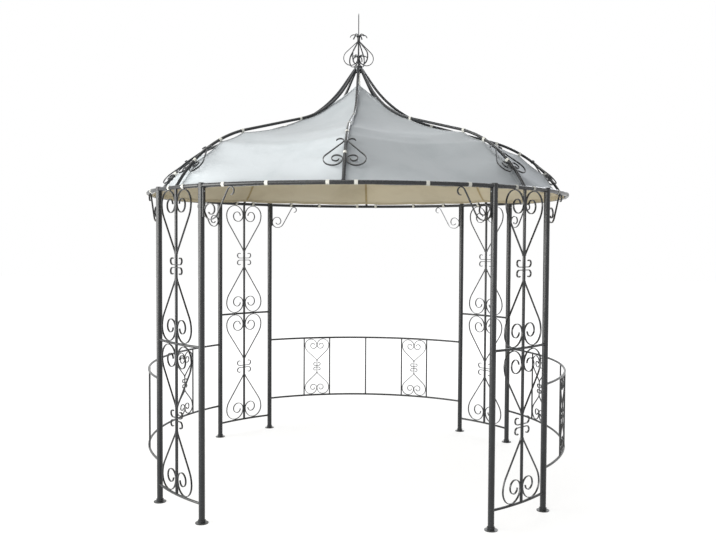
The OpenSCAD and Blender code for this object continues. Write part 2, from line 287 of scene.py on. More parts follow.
# flat polyester webbing: off-white, ribbed across, a little shinier than the canopy
webbing = {
    "light": "#dcdcd6", "grooveShade": "#c6c6bf", "edges": (0.1, 0.6),
    "turn": 0.00547,  # m from rib to rib, drawn coarse; the real ones are 2 mm apart
    "waver": 0.8, "depth": 0.0005, "roughness": 0.68, "sheen": 0.2,
}

# bonded polyester sewing thread: two plies twisted together, pale, with a slight gloss
thread = {
    "light": "#c9cac4", "grooveShade": "#a7a8a2", "edges": (0.15, 0.55),
    "turn": 0.003645,  # m from ply to ply, drawn coarse; the real ones are 1 mm apart
    "waver": 0.4, "depth": 0.0003, "roughness": 0.5, "sheen": 0.1,
}


def makeYarn(name, yarn):
    # twisted or ribbed polyester: pale raised turns, with painted shade in the grooves between them
    material, tree, shader = startMaterial(name)
    place = addNode(tree, "ShaderNodeTexCoord").outputs["Object"]
    turns = addNode(tree, "ShaderNodeTexWave",
                    {"Scale": diagonalWave / yarn["turn"], "Distortion": yarn["waver"]},
                    {"Vector": place}, bands_direction="DIAGONAL")
    sunk, raised = yarn["edges"]
    # painted shade: the colour follows the bump's height and darkens down in the grooves
    colour = addNode(tree, "ShaderNodeValToRGB", links={"Fac": turns.outputs["Fac"]},
                     stops=[(sunk, yarn["grooveShade"]), (raised, yarn["light"])])
    bump = addNode(tree, "ShaderNodeBump", {"Strength": 0.3, "Distance": yarn["depth"]},
                   {"Height": turns.outputs["Fac"]})
    fillSockets(tree, shader, {"Roughness": yarn["roughness"], "Sheen Weight": yarn["sheen"]},
                {"Base Color": colour.outputs["Color"], "Normal": bump.outputs[0]})
    return material


# the bloom is counted to the metre
zinc = {"dull": "#7f8386", "bright": "#a9adaf", "bloom": 300, "roughness": 0.42}


def makeZinc():
    # zinc-plated steel screws: dull bright grey with a faint bloom
    material, tree, shader = startMaterial("zincPlatedSteel")
    place = addNode(tree, "ShaderNodeTexCoord").outputs["Object"]
    bloom = addNode(tree, "ShaderNodeTexNoise", {"Scale": zinc["bloom"], "Detail": 4}, {"Vector": place})
    colour = addNode(tree, "ShaderNodeValToRGB", links={"Fac": bloom.outputs["Fac"]},
                     stops=[(0.3, zinc["dull"]), (0.7, zinc["bright"])])
    fillSockets(tree, shader, {"Metallic": 1, "Roughness": zinc["roughness"]},
                {"Base Color": colour.outputs["Color"]})
    return material


steelFinish = makePowderCoat()
clothOutside = makeCloth("coatedPolyesterOutside", cloth["outside"], cloth["outsideDirt"], 0.12)
clothInsideLitThrough = makeCloth("coatedPolyesterInside", cloth["inside"], cloth["insideShade"], 0.05)
hemLitThrough = makeCloth("foldedPolyesterHem", cloth["hem"], cloth["hemShade"], 0.05)
seamLitThrough = makeCloth("tapedPolyesterSeam", cloth["seam"], cloth["seamShade"], 0.05)
webbingFinish = makeYarn("polyesterWebbing", webbing)
threadFinish = makeYarn("polyesterThread", thread)
zincFinish = makeZinc()
print("materials made")


# the frame's own sizes in m: the ring beam, the crown and the bars, by their diameter
plan = {"ringRadius": 1.5, "ringHeight": 2.02, "crownHeight": 2.96, "pillarWidth": 0.52,
        "ringBar": 0.025, "ribBar": 0.019, "post": 0.038, "ribs": 8}
ribTurn = 360 // plan["ribs"]  # degrees from rib to rib
pillarHalf = np.degrees(np.arcsin(plan["pillarWidth"] / 2 / plan["ringRadius"]))
ribBend = {"footSlope": radians(61), "midSlope": radians(15), "topSlope": radians(55.5),
           "low": 0.84, "top": 0.75, "endRadius": 0.027, "step": 0.002}


# the rib's centre line as [distance along it, distance in from the ring, height over the ring, slope]
def drawRib():
    foot, mid, top = ribBend["footSlope"], ribBend["midSlope"], ribBend["topSlope"]
    low, high = ribBend["low"], ribBend["top"]
    across = (plan["ringRadius"] - ribBend["endRadius"]
              - low * (sin(foot) - sin(mid)) - high * (sin(top) - sin(mid)))
    up = (plan["crownHeight"] - plan["ringHeight"]
          - low * (cos(mid) - cos(foot)) - high * (cos(mid) - cos(top)))
    topRun = (up * cos(mid) - across * sin(mid)) / sin(top - mid)
    midRun = (across - topRun * cos(top)) / cos(mid)
    stretches = [(low * (foot - mid), foot, mid), (midRun, mid, mid), (high * (top - mid), mid, top),
                 (topRun, top, top)]
    line, inward, height, distance = [], 0.0, 0.0, 0.0
    for length, start, end in stretches:
        count = max(1, round(length / ribBend["step"]))
        for k in range(count):
            slope = start + (end - start) * (k + 0.5) / count
            line.append((distance, inward, height, slope))
            inward += length / count * cos(slope)
            height += length / count * sin(slope)
            distance += length / count
    line.append((distance, inward, height, top))
    return np.array(line)


ribLine = drawRib()


# radius, height and slope of a point at a distance along a rib, set off from it by "out"
def onRib(distance, out=0.0):
    inward, height, slope = [np.interp(distance, ribLine[:, 0], ribLine[:, k]) for k in (1, 2, 3)]
    return (plan["ringRadius"] - inward + out * sin(slope),
            plan["ringHeight"] + height + out * cos(slope), slope)


# a plan angle counts from the front, towards the right of someone who looks in
def polar(radius, angle, height):
    return Vector((radius * sin(radians(angle)), -radius * cos(radians(angle)), height))


# the way round the ring at a plan angle
def roundTheRing(angle):
    return Vector((cos(radians(angle)), sin(radians(angle)), 0))


smoothing = {"kinds": ("pillar_grille", "brackets", "railing", "rib_scroll", "finial"), "angle": 24}


# the bent flat bars are packed as short flats, so a merged and smoothed copy stands for each of their nodes
def smoothBars():
    smoothed = 0
    for name, node in nodes.items():
        if name.startswith(smoothing["kinds"]):
            bars = copyPiece(node, Matrix.Identity(4))
            mergePoints(bars)
            if bars.data.has_custom_normals:
                bpy.ops.mesh.customdata_custom_splitnormals_clear()
            shadeByAngle(smoothing["angle"])
            keepPiece(bars, name + "_smooth", [steelFinish], [name])
            smoothed += 1
        elif name != "canopy":
            for place in node.material_slots:
                place.material = steelFinish
    print("steel:", smoothed, "smoothed copies")


smoothBars()


canopy = {
    "rows": 76, "columns": 240,  # stations from hem to apex, and round the ring
    "ribTies": (0.22, 0.455, 0.64, 1.135),  # m along a rib
    "ringTies": (-16.9, -3.3, 3.3, 16.9),  # degrees from a rib
    "strays": {(0, 2): -0.6, (0, 3): 1.2, (3, 1): 0.5, (5, 0): -0.9, (6, 3): 0.8},  # (rib, tie): degrees
    "tieDrop": 0.0135,  # m from a rib's centre line to the cloth at a tie
    "ribClear": 0.012,  # m from a rib's centre line to the cloth that bears on it
    "clearFrom": (0.1, 1.4),  # m from the middle, between which it may bear
    "bearing": 0.0006, "bearingRow": 10,  # m within which it does bear, and the first row that can
    "scallop": (0.003, 0.007, 0.009, 0.016, 0.022),  # m that the ridge hangs between ties
    "scallopSteps": 40,
    "hemRadius": 1.4805, "hemHeight": 2.0125,
    "hemRise": 0.03,  # m that the hem rides higher at the back
    "riseFrom": 105, "riseOver": 35,  # degrees from the front at which it starts, and that it takes
    "riseFade": 9,  # how soon the rise is lost above the hem
    "hemTuck": 0.008, "tuckWidth": 1.6, "tuckFade": 14,  # there the hem passes under each rib's foot
    "apexHeight": 2.848,
    "ridgeWidth": 9.0,  # degrees over which a ridge's scallops fade
    "goreRounds": 60,  # rounds of smoothing between ridge and middle of a gore
    "chordFade": 14,  # how soon the round hem becomes eight straight chords
    "belly": 0.016, "bellyReach": 1.15,  # m that a gore sags between its ridges, and how low on it
    "thickness": 0.0012,
}
ribColumns = canopy["columns"] // plan["ribs"]


# the plan angles of the ties on the ring beam round one rib
def ringTieAngles(rib):
    return [ribTurn * rib + turn + canopy["strays"].get((rib, number), 0)
            for number, turn in enumerate(canopy["ringTies"])]


# an angle as degrees from the front, from 0 to 180
def fromFront(angle):
    return abs((angle + 180) % 360 - 180)


def hemRiseAt(angle):
    share = (fromFront(angle) - canopy["riseFrom"]) / canopy["riseOver"]
    return canopy["hemRise"] * ease(min(1, max(0, share)))


# how far a point of the rib's upright plane lies outside the rib's centre line, and the way that is
def offRib(point):
    away = np.hypot(plan["ringRadius"] - ribLine[:, 1] - point[0],
                    plan["ringHeight"] + ribLine[:, 2] - point[1])
    distance = ribLine[int(np.argmin(away)), 0]
    radius, height, slope = onRib(distance)
    way = np.array([sin(slope), cos(slope)])
    return float(np.dot(np.array(point) - (radius, height), way)), way


# the ridge under a rib: it hangs a little from tie to tie, and is never nearer than the tube allows
def drawRidge(scallops):
    held = [(canopy["hemRadius"], canopy["hemHeight"])]
    held += [onRib(distance, -canopy["tieDrop"])[:2] for distance in canopy["ribTies"]]
    held += [(0.0, canopy["apexHeight"])]
    ridge = [held[0]]
    steps = canopy["scallopSteps"]
    for (r0, z0), (r1, z1), sag in zip(held, held[1:], scallops):
        length = ((r1 - r0) ** 2 + (z1 - z0) ** 2) ** 0.5
        for k in range(1, steps + 1):
            t = k / steps
            drop = sag * 4 * t * (1 - t)
            ridge.append((r0 + (r1 - r0) * t - drop * (z1 - z0) / length,
                          z0 + (z1 - z0) * t + drop * (r1 - r0) / length))
    inner, outer = canopy["clearFrom"]
    for number, point in enumerate(ridge):
        out, way = offRib(point)
        if inner < point[0] < outer and out > -canopy["ribClear"]:
            ridge[number] = tuple(np.array(point) - (out + canopy["ribClear"]) * way)
    return np.array(ridge)


# evenly spaced stations along a line of points
def evenly(line, count):
    steps = np.hypot(*np.diff(line, axis=0).T)
    along = np.concatenate([[0], np.cumsum(steps)])
    places = np.linspace(0, along[-1], count)
    return np.column_stack([np.interp(places, along, line[:, k]) for k in (0, 1)]), along[-1]


# the ridge's line without its scallops, for the middle of a gore
def smoothOut(line):
    line = line.copy()
    for again in range(canopy["goreRounds"]):
        line[1:-1] = (line[:-2] + 2 * line[1:-1] + line[2:]) / 4
    return line


ridgeLine, meridian = evenly(drawRidge(canopy["scallop"]), canopy["rows"] + 1)
goreLine = smoothOut(ridgeLine)


# a point of the cloth as it is cut and sewn, before it hangs
def clothPoint(row, angle):
    share, half = row / canopy["rows"], ribTurn / 2
    fromRib = (angle + half) % ribTurn - half
    atRidge = exp(-(fromRib / canopy["ridgeWidth"]) ** 2)
    radius, height = ridgeLine[row] * atRidge + goreLine[row] * (1 - atRidge)
    flat = 1 - exp(-share * canopy["chordFade"])
    chord = cos(radians(half)) / cos(radians(half - abs(fromRib)))
    radius *= 1 - flat + flat * chord
    rise = hemRiseAt(angle)
    sag = canopy["belly"] * ease(abs(fromRib) / half) * sin(pi * min(1, share * canopy["bellyReach"]))
    height += rise * max(0, 1 - share * canopy["riseFade"]) ** 2 - sag
    tuck = exp(-(fromRib / canopy["tuckWidth"]) ** 2) * max(0, 1 - share * canopy["tuckFade"])
    radius -= canopy["hemTuck"] * rise / canopy["hemRise"] * tuck
    return polar(radius, angle, height)


def makeCanopySheet():
    rows, columns = canopy["rows"], canopy["columns"]
    bpy.ops.mesh.primitive_grid_add(x_subdivisions=columns, y_subdivisions=rows, size=1)
    sheet = bpy.context.object
    mesh = sheet.data
    grid = np.empty(len(mesh.vertices) * 3)
    mesh.vertices.foreach_get("co", grid)
    grid = grid.reshape(-1, 3)
    row = np.rint((grid[:, 1] + 0.5) * rows).astype(int)
    column = np.rint((grid[:, 0] + 0.5) * columns).astype(int)
    places = np.array([clothPoint(i, j * 360 / columns) for i, j in zip(row, column)])
    mesh.vertices.foreach_set("co", places.ravel())
    # the cloth is marked out in metres: across a gore and up from the hem
    layer = mesh.uv_layers.active.data
    for loop in mesh.loops:
        i, j = row[loop.vertex_index], column[loop.vertex_index]
        acrossGore = (j * 360 / columns) % ribTurn - ribTurn / 2
        layer[loop.index].uv = (radians(acrossGore) * ridgeLine[i][0], meridian * i / rows)
    mergePoints(sheet)
    editAll(sheet)
    bpy.ops.mesh.normals_make_consistent(inside=False)
    closeEdit()
    if sum(face.normal.z * face.area for face in mesh.polygons) < 0:
        mesh.flip_normals()
    return sheet


canopySheet = makeCanopySheet()
print("canopy sheet:", len(canopySheet.data.vertices), "points, meridian", round(meridian, 3))


# finds the sheet's vertex for each row and column, as the sheet was laid out
def numberSheet(sheet):
    points = sheet.data.vertices
    tree = KDTree(len(points))
    for point in points:
        tree.insert(point.co, point.index)
    tree.balance()
    columns = canopy["columns"]
    return np.array([[tree.find(clothPoint(i, j * 360 / columns))[1] for j in range(columns)]
                     for i in range(canopy["rows"] + 1)])


sheetNumbers = numberSheet(canopySheet)


# the row of the cloth at a tie on a rib
def rowAtTie(distance):
    away = ridgeLine - onRib(distance, -canopy["tieDrop"])[:2]
    return int(np.argmin(np.hypot(*away.T)))


# the (row, column) places at which ties, ribs and the apex strap hold the cloth
def tiedPlaces():
    rows, columns = canopy["rows"], canopy["columns"]
    ribRows = [rowAtTie(distance) for distance in canopy["ribTies"]]
    bears = -canopy["ribClear"] - canopy["bearing"]
    ribRows += [row for row in range(canopy["bearingRow"], rows) if offRib(ridgeLine[row])[0] > bears]
    tied = {(row, ribColumns * k) for row in ribRows for k in range(plan["ribs"])}
    tied |= {(0, round(angle * columns / 360) % columns)
             for k in range(plan["ribs"]) for angle in ringTieAngles(k)}
    tied |= {(row, column) for row in (rows - 1, rows) for column in range(columns)}
    return tied


hang = {
    "frames": 22, "quality": 7, "mass": 0.12, "stretch": 55, "shear": 18, "bend": 3.0,
    "damping": 25, "bendDamping": 1, "airDamping": 4,
    "hemHold": 0.25,  # how firmly the hem keeps its line between ties, 1 for fixed
}


# lets the cloth settle under its own weight between its ties
def hangCanopy(sheet):
    scene = bpy.context.scene
    start = [point.co.copy() for point in sheet.data.vertices]
    tied = tiedPlaces()
    freeHem = {(0, column) for column in range(canopy["columns"])} - tied
    held = sheet.vertex_groups.new(name="held")
    held.add([int(sheetNumbers[place]) for place in sorted(tied)], 1, "REPLACE")
    held.add([int(sheetNumbers[place]) for place in sorted(freeHem)], hang["hemHold"], "REPLACE")
    selectOnly(sheet)
    settling = sheet.modifiers.new("hang", "CLOTH")
    setup = settling.settings
    setup.vertex_group_mass = "held"
    setup.quality, setup.mass = hang["quality"], hang["mass"]
    setup.tension_stiffness = setup.compression_stiffness = hang["stretch"]
    setup.shear_stiffness, setup.bending_stiffness = hang["shear"], hang["bend"]
    setup.tension_damping = setup.compression_damping = setup.shear_damping = hang["damping"]
    setup.bending_damping, setup.air_damping = hang["bendDamping"], hang["airDamping"]
    settling.collision_settings.use_collision = False
    settling.collision_settings.use_self_collision = False
    settling.point_cache.frame_start, settling.point_cache.frame_end = 1, hang["frames"]
    scene.frame_start, scene.frame_end = 1, hang["frames"]
    for frameNumber in range(1, hang["frames"] + 1):
        scene.frame_set(frameNumber)
    bpy.ops.object.modifier_apply(modifier="hang")
    scene.frame_set(1)
    drops = [(a - b.co).length for a, b in zip(start, sheet.data.vertices)]
    print("canopy settled, at most", round(max(drops), 4), "m")


hangCanopy(canopySheet)

# where the cloth has come to hang, by row and column
hung = np.array([canopySheet.data.vertices[int(v)].co for v in sheetNumbers.ravel()])
hung = hung.reshape(canopy["rows"] + 1, canopy["columns"], 3)


# a point on the hanging cloth, between rows and columns, set off along its normal
def onCloth(row, column, lift):
    rows, columns = canopy["rows"], canopy["columns"]
    i = int(min(max(row, 0), rows - 1.001))
    j = int(np.floor(column))
    u, v = min(max(row, 0), rows) - i, column - j
    near, beside, above, across = [Vector(hung[a][b % columns])
                                   for a, b in ((i, j), (i, j + 1), (i + 1, j), (i + 1, j + 1))]
    place = near * (1 - u) * (1 - v) + beside * (1 - u) * v + above * u * (1 - v) + across * u * v
    normal = (beside - near).cross(above - near).normalized()
    return place + normal * lift


# moves a lift further from the cloth, on the side where it is
def further(lift, more):
    return lift + more if lift > 0 else lift - more


trim = {
    "hemWidth": 0.032, "hemCells": 3,
    "outerSeam": 0.012, "innerSeam": 0.02, "seamCells": 4,  # m wide
    "seamFrom": 0.1, "seamTo": 2.4,  # rows from the hem and from the apex at which seams start and end
    "apexRadius": 0.075, "capCells": 6, "capLift": 0.001,
    "thickness": 0.001, "outer": 0.0012, "inner": -0.0024,  # m from the sheet to the tape's middle
    "rowLength": meridian / canopy["rows"],
}


# a strip of cloth that lies on the canopy; edges is a list of rows, each with its first and last column
def layStrip(edges, cells, lift):
    count = len(edges) - 1
    bpy.ops.mesh.primitive_grid_add(x_subdivisions=cells, y_subdivisions=count, size=1)
    strip = bpy.context.object
    for point in strip.data.vertices:
        j = round((point.co.x + 0.5) * cells)
        row, first, last = edges[round((point.co.y + 0.5) * count)]
        point.co = onCloth(row, first + (last - first) * j / cells, lift)
    mergePoints(strip)
    addWall(strip, trim["thickness"])
    applyModifiers(strip)
    return strip


# columns that a width in metres takes at a row
def columnsFor(width, row):
    ring = hung[int(min(max(row, 0), canopy["rows"]))]
    radius = max(0.02, float(np.hypot(*ring[0][:2])))
    return width / (radius * 2 * pi / canopy["columns"])


# the folded hem, and tape over each seam and the apex on both sides
def makeTrim():
    rows, columns = canopy["rows"], canopy["columns"]
    hemRows = np.linspace(0, trim["hemWidth"] / trim["rowLength"], trim["hemCells"] + 1)
    hem = layStrip([(row, 0, columns) for row in hemRows], columns, trim["inner"])
    keepPiece(hem, "canopyHem", [hemLitThrough])
    seamRows = np.linspace(trim["seamFrom"], rows - trim["seamTo"], rows - 2)
    capRows = np.linspace(rows - trim["apexRadius"] / trim["rowLength"], rows, trim["capCells"] + 1)
    for name, finish, lift, width in (("Outer", clothOutside, trim["outer"], trim["outerSeam"]),
                                      ("Inner", seamLitThrough, trim["inner"], trim["innerSeam"])):
        seams = []
        for middle in range(0, columns, ribColumns):
            halves = [(row, columnsFor(width / 2, row)) for row in seamRows]
            seams.append(layStrip([(row, middle - half, middle + half) for row, half in halves],
                                  trim["seamCells"], lift))
        keepPiece(joinPieces(seams), "canopySeams" + name, [finish])
        cap = layStrip([(row, 0, columns) for row in capRows], columns // 4, further(lift, trim["capLift"]))
        keepPiece(cap, "canopyApexCap" + name, [finish])


makeTrim()

stitching = {
    "pitch": 0.011, "length": 0.0078, "thick": 0.0011,  # m, drawn coarse; the real ones are 3 mm long
    "shoulder": 0.3, "end": 0.5, "dip": 0.0007,  # shares of the length and of the thickness, and m
    "hemRows": (0.006, 0.028),  # m up from the edge
    "outerOff": 0.0035, "innerOff": 0.0068,  # m either side of a seam's middle
    "outerLift": 0.0019, "innerLift": -0.0031, "clothLift": 0.0002,
    "seamFrom": 0.5, "seamTo": 3.8,  # rows from the hem and from the apex
    "capEdge": 0.006,  # m in from the apex tape's edge
}


# one stitch along x, drawn in at both ends where the thread goes down
def makeStitch():
    bpy.ops.mesh.primitive_cylinder_add(vertices=6, radius=stitching["thick"] / 2,
                                        depth=stitching["length"], rotation=(0, pi / 2, 0))
    stitch = bpy.context.object
    bpy.ops.object.transform_apply()
    for shoulder in (-stitching["shoulder"], stitching["shoulder"]):
        editAll(stitch)
        bpy.ops.mesh.bisect(plane_co=(shoulder * stitching["length"], 0, 0), plane_no=(1, 0, 0))
        closeEdit()
    editFaces(stitch, lambda normal: abs(normal.x) > 0.9)
    bpy.ops.transform.resize(value=(1, stitching["end"], stitching["end"]))
    bpy.ops.transform.translate(value=(0, 0, -stitching["dip"]))
    closeEdit()
    return stitch


# the places of the stitches on a line of (row, column), each with its axes: along, sideways, off the cloth
def stitchPlaces(line, lift):
    places = []
    for (row, column), (nextRow, nextColumn) in zip(line, line[1:]):
        here, there = onCloth(row, column, lift), onCloth(nextRow, nextColumn, lift)
        if (there - here).length > 0.5 * stitching["pitch"]:
            normal = (onCloth(row, column, further(lift, 0.01)) - here).normalized()
            along = (there - here).normalized()
            side = normal.cross(along).normalized()
            places.append((here, along, side, along.cross(side)))
    return places


# one mesh with a copy of the stitch at each place
def sew(places, name):
    source = makeStitch()
    shape = np.array([point.co for point in source.data.vertices])
    faces = [tuple(face.vertices) for face in source.data.polygons]
    takeAway(source)
    points = np.concatenate([shape @ np.array(axes) + np.array(here) for here, *axes in places])
    shifted = [tuple(v + k * len(shape) for v in face) for k in range(len(places)) for face in faces]
    mesh = bpy.data.meshes.new(name)
    mesh.from_pydata(points.tolist(), [], shifted)
    stitches = bpy.data.objects.new(name, mesh)
    bpy.context.scene.collection.objects.link(stitches)
    selectOnly(stitches)
    shadeByAngle(62)
    keepPiece(stitches, name, [threadFinish])


def sewCanopy():
    rows, columns, rowLength = canopy["rows"], canopy["columns"], trim["rowLength"]
    hemCount = int(2 * pi * canopy["hemRadius"] / stitching["pitch"])
    rings = [[(up / rowLength, columns * k / hemCount) for k in range(hemCount + 1)]
             for up in stitching["hemRows"]]
    for name, lift in (("Outer", stitching["clothLift"]), ("Inner", stitching["innerLift"])):
        sew([place for ring in rings for place in stitchPlaces(ring, lift)], "hemStitches" + name)
    seamRows = np.arange(stitching["seamFrom"], rows - stitching["seamTo"], stitching["pitch"] / rowLength)
    capRow = rows - (trim["apexRadius"] - stitching["capEdge"]) / rowLength
    capCount = int(2 * pi * trim["apexRadius"] / stitching["pitch"])
    capRing = [(capRow, columns * k / capCount) for k in range(capCount + 1)]
    for name, off, lift in (("Outer", stitching["outerOff"], stitching["outerLift"]),
                            ("Inner", stitching["innerOff"], stitching["innerLift"])):
        places = []
        for middle in range(0, columns, ribColumns):
            for way in (-1, 1):
                line = [(row, middle + way * columnsFor(off, row)) for row in seamRows]
                places += stitchPlaces(line, lift)
        places += stitchPlaces(capRing, further(lift, trim["capLift"]))
        sew(places, "seamStitches" + name)


sewCanopy()
print("canopy trim sewn")


ties = {
    "ribWidth": 0.019, "ringWidth": 0.0205, "thickness": 0.0014,
    "play": 0.0004, "sink": 0.0005,  # m between tube and webbing, and of the tail in the cloth
    "narrow": 0.72,  # how far the two sides of the tail are drawn together
    "ringRow": 0.35,  # the row that a tie on the ring beam reaches
}


# a webbing loop round a tube at the origin that lies along x; its tail points down and reaches the cloth
def makeLoop(radius, reach, width):
    middle = radius + ties["thickness"] / 2
    bpy.ops.mesh.primitive_cylinder_add(vertices=32, radius=middle, depth=width, end_fill_type="NOTHING",
                                        rotation=(0, pi / 2, 0))
    loop = bpy.context.object
    bpy.ops.object.transform_apply()
    subdividePiece(loop, 1)
    # the lower part is drawn in to a flat double tail
    flatness = ties["narrow"] * min(1, max(0, reach / radius - 1)) ** 0.5
    for point in loop.data.vertices:
        down = -point.co.z / middle
        if down > 0:
            point.co.z -= ease(down) * max(0, reach - radius)
            point.co.y *= 1 - ease(down) * flatness
    addWall(loop, ties["thickness"])
    softenEdges(loop, 0.0004, 1)
    applyModifiers(loop)
    shadeByAngle(40)
    return loop


# turns a loop made at the origin so that its tail points at the cloth
def tieAt(centre, along, target, radius, width):
    tail = target - centre
    tail -= tail.dot(along) * along
    loop = makeLoop(radius + ties["play"], tail.length + ties["sink"], width)
    down = tail.normalized()
    side = down.cross(along)
    place = Matrix((along, -side, -down)).transposed().to_4x4()
    place.translation = centre
    loop.data.transform(place)
    if place.determinant() < 0:
        loop.data.flip_normals()
    return loop


def makeTies():
    for k in range(plan["ribs"]):
        angle, loops = ribTurn * k, []
        for distance in canopy["ribTies"]:
            radius, height, slope = onRib(distance)
            centre = polar(radius, angle, height)
            along = (polar(radius - cos(slope), angle, height + sin(slope)) - centre).normalized()
            target = onCloth(rowAtTie(distance), ribColumns * k, 0)
            loops.append(tieAt(centre, along, target, plan["ribBar"] / 2, ties["ribWidth"]))
        keepPiece(joinPieces(loops), "ribTies_" + str(k + 1), [webbingFinish])
        loops = []
        for at in ringTieAngles(k):
            centre = polar(plan["ringRadius"], at, plan["ringHeight"])
            target = onCloth(ties["ringRow"], at * canopy["columns"] / 360, 0)
            loops.append(tieAt(centre, roundTheRing(at), target, plan["ringBar"] / 2, ties["ringWidth"]))
        keepPiece(joinPieces(loops), "ringTies_" + str(k + 1), [webbingFinish])


makeTies()

strapSizes = {"width": 0.024, "thickness": 0.0032, "intoCloth": 0.004, "intoHub": 0.012,
              "sway": 0.002, "swayTurn": 60}  # m to either side, and radians of its wave to the metre


# the strap that hangs the apex from the crown hub
def makeApexStrap():
    low, high = canopy["apexHeight"] - strapSizes["intoCloth"], plan["crownHeight"] + strapSizes["intoHub"]
    bpy.ops.mesh.primitive_cube_add(size=1, location=(0, 0, (low + high) / 2))
    strap = bpy.context.object
    strap.dimensions = (strapSizes["width"], strapSizes["thickness"], high - low)
    bpy.ops.object.transform_apply()
    subdividePiece(strap, 6)
    for point in strap.data.vertices:
        point.co.y += strapSizes["sway"] * sin((point.co.z - low) * strapSizes["swayTurn"])
    softenEdges(strap, 0.0006, 2)
    applyModifiers(strap)
    shadeByAngle(40)
    keepPiece(strap, "apexStrap", [webbingFinish])


makeApexStrap()
print("ties made")

# the sheet gets its thickness, with a cream inner face that stands for light coming through the cloth,
# painted light
selectOnly(canopySheet)
bpy.ops.object.shade_smooth()
addWall(canopySheet, canopy["thickness"], -1).material_offset = 1
canopySheet.data.materials.append(clothOutside)
canopySheet.data.materials.append(clothInsideLitThrough)
applyModifiers(canopySheet)


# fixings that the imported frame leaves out, in m
fixings = {
    "screwHead": 0.0045, "screwHeight": 0.0026,  # radius and height
    "screwSteps": ((0.22, 0.32), (0.3, 0.08), (0.14, -0.35)),  # shares of them, inwards and up
    "bead": 0.0022, "ringBead": 0.00275, "fine": 0.002,  # radius of a weld bead
    "beadSink": 0.0012,  # m that a bead at a post lies in its skin
    "ripples": 11, "ripple": 0.05,  # round a bead, and how high for the plain one
    "bracketScrews": (0.034, 0.168),  # m under the ring beam
    "plateOut": 0.0053, "plateTurn": 4,  # m from post to a bracket plate's face, and degrees turned in
    "hubRadius": 0.0319,  # m to the hub's side
    "ribFoot": 0.0142,  # m along a rib where it leaves the ring beam
}


# a pan-head screw that stands on the x, y plane, with a round recess
def makeScrew():
    radius, height = fixings["screwHead"], fixings["screwHeight"]
    bpy.ops.mesh.primitive_cylinder_add(vertices=24, radius=radius, depth=height,
                                        location=(0, 0, height / 2))
    head = bpy.context.object
    bpy.ops.object.transform_apply()
    editFaces(head, lambda normal: normal.z > 0.9)
    for inwards, up in fixings["screwSteps"]:
        bpy.ops.mesh.inset(thickness=radius * inwards, depth=height * up)
    closeEdit()
    shadeByAngle(38)
    return head


# a weld bead round a tube that runs along z
def makeBead(radius, size):
    bpy.ops.mesh.primitive_torus_add(major_radius=radius, minor_radius=size,
                                     major_segments=40, minor_segments=8)
    bead = bpy.context.object
    ripple = fixings["ripple"] * size / fixings["bead"]
    for point in bead.data.vertices:
        turn = np.arctan2(point.co.y, point.co.x)
        point.co *= 1 + ripple * sin(fixings["ripples"] * turn)
    selectOnly(bead)
    bpy.ops.object.shade_smooth()
    return bead


# axes with z along a direction at a place
def facing(direction, place, roll=0.0):
    turn = Vector(direction).to_track_quat("Z", "Y").to_matrix().to_4x4()
    return Matrix.Translation(place) @ turn @ Matrix.Rotation(roll, 4, "Z")


pillarAngles, openingAngles = (45, 135, 225, 315), (0, 90, 180, 270)
postAngles = [angle + side * pillarHalf for angle in pillarAngles for side in (-1, 1)]
postSkin = plan["post"] / 2
storeys = {"lowBar": 0.115, "midBar": plan["ringHeight"] * 0.523, "crossBar": 0.016,
           "lowRail": 0.269, "topRail": 0.801, "rail": 0.016}


# weld beads where ring beam, cross bars and rails meet the posts
def weldBars():
    beads = [[] for angle in postAngles]
    reach = np.degrees(np.arcsin((postSkin - fixings["beadSink"]) / plan["ringRadius"]))
    for level, bar, size, sides in (
            (plan["ringHeight"], plan["ringBar"], fixings["ringBead"], "both"),
            (storeys["lowBar"], storeys["crossBar"], fixings["bead"], "pillar"),
            (storeys["midBar"], storeys["crossBar"], fixings["bead"], "pillar"),
            (storeys["lowRail"], storeys["rail"], fixings["bead"], "opening"),
            (storeys["topRail"], storeys["rail"], fixings["bead"], "opening")):
        source = makeBead(bar / 2, size)
        for n, angle in enumerate(postAngles):
            inPillar = 1 if n % 2 == 0 else -1  # the way round to the pillar's middle
            ways = {"both": (1, -1), "pillar": (inPillar,), "opening": (-inPillar,)}[sides]
            if sides == "opening" and fromFront(angle) < 45:
                ways = ()  # the entrance has no railing
            for way in ways:
                at = angle + way * reach
                place = facing(roundTheRing(at) * way, polar(plan["ringRadius"], at, level))
                beads[n].append(copyPiece(source, place))
        takeAway(source)
    for n, pieces in enumerate(beads, 1):
        keepPiece(joinPieces(pieces), "postWelds_" + str(n), [steelFinish])


weldBars()

# m past the post's skin and over the ring beam or the ground; the rise is a share of the cap's radius
postEnds = {"capOver": 0.0006, "capRise": 0.24, "capHeight": 0.0012,
            "footOver": 0.003, "footHeight": 0.0182}


# a low domed cap on each post, and a bead round its foot
def capPosts():
    top = plan["ringHeight"] + plan["ringBar"] / 2 + postEnds["capHeight"]
    for n, angle in enumerate(postAngles, 1):
        bpy.ops.mesh.primitive_uv_sphere_add(segments=40, ring_count=16,
                                             radius=postSkin + postEnds["capOver"])
        cap = bpy.context.object
        editAll(cap)
        bpy.ops.mesh.bisect(plane_co=(0, 0, 0), plane_no=(0, 0, 1), clear_inner=True, use_fill=True)
        closeEdit()
        for point in cap.data.vertices:
            point.co.z *= postEnds["capRise"]
        shadeByAngle(50)
        cap.data.transform(Matrix.Translation(polar(plan["ringRadius"], angle, top)))
        foot = makeBead(postSkin + postEnds["footOver"], fixings["fine"])
        foot.data.transform(Matrix.Translation(polar(plan["ringRadius"], angle, postEnds["footHeight"])))
        keepPiece(joinPieces([cap, foot]), "postCap_" + str(n), [steelFinish])


capPosts()


